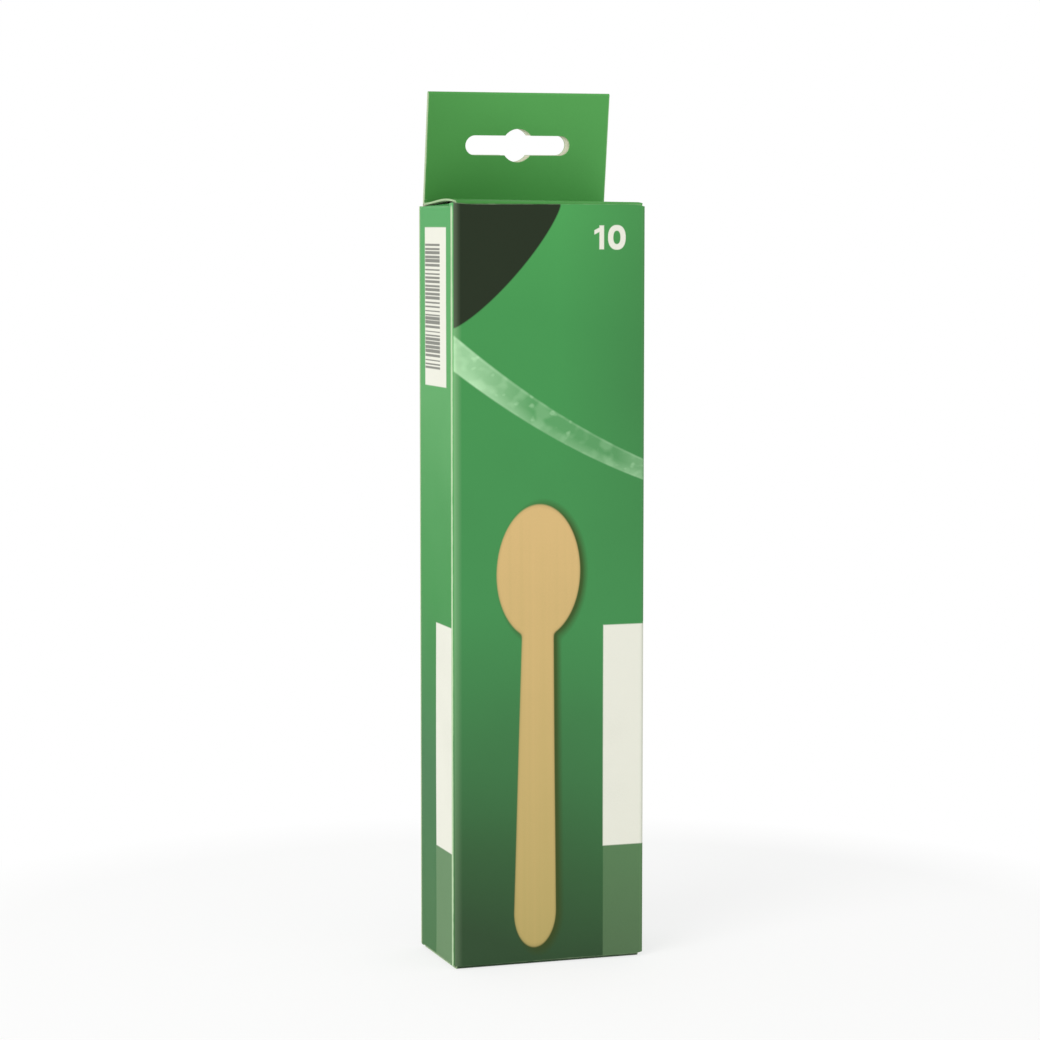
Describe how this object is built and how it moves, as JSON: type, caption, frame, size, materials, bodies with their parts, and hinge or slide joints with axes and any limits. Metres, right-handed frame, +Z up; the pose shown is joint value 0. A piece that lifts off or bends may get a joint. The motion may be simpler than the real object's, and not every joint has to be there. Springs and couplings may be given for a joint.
{
  "type": "wooden cutlery pack",
  "caption": "Printed folding carton with a fold-over hang tab and tuck-in lids at both ends, holding a nested stack of pressed wooden spoons.",
  "frame": {"origin": "middle of the carton's footprint, on the surface it stands on", "axes": "+Z up the carton, -Y out of the front wall, X across the front wall"},
  "size_m": [0.0454, 0.0254, 0.1966],
  "materials": {
    "printed_board": "green print on coated board, satin",
    "birch_veneer": "pressed veneer, unvarnished"
  },
  "bodies": {
    "carton": {"carton_sleeve": "printed_board", "spoon_01": "birch_veneer", "spoon_02": "birch_veneer", "spoon_03": "birch_veneer", "spoon_04": "birch_veneer", "spoon_05": "birch_veneer", "spoon_06": "birch_veneer", "spoon_07": "birch_veneer", "spoon_08": "birch_veneer", "spoon_09": "birch_veneer", "spoon_10": "birch_veneer"},
    "top_lid": {"top_lid": "printed_board"},
    "bottom_lid": {"bottom_lid": "printed_board"}
  },
  "joints": [
    {"name": "top_lid_hinge", "type": "hinge", "parent": "carton", "child": "top_lid", "pos_m": [0, 0.01117, 0.17133], "axis": [-1, 0, 0], "range_deg": [0, 75]},
    {"name": "bottom_lid_hinge", "type": "hinge", "parent": "carton", "child": "bottom_lid", "pos_m": [0, 0.01253, 0.00021], "axis": [1, 0, 0], "range_deg": [0, 110]}
  ]
}
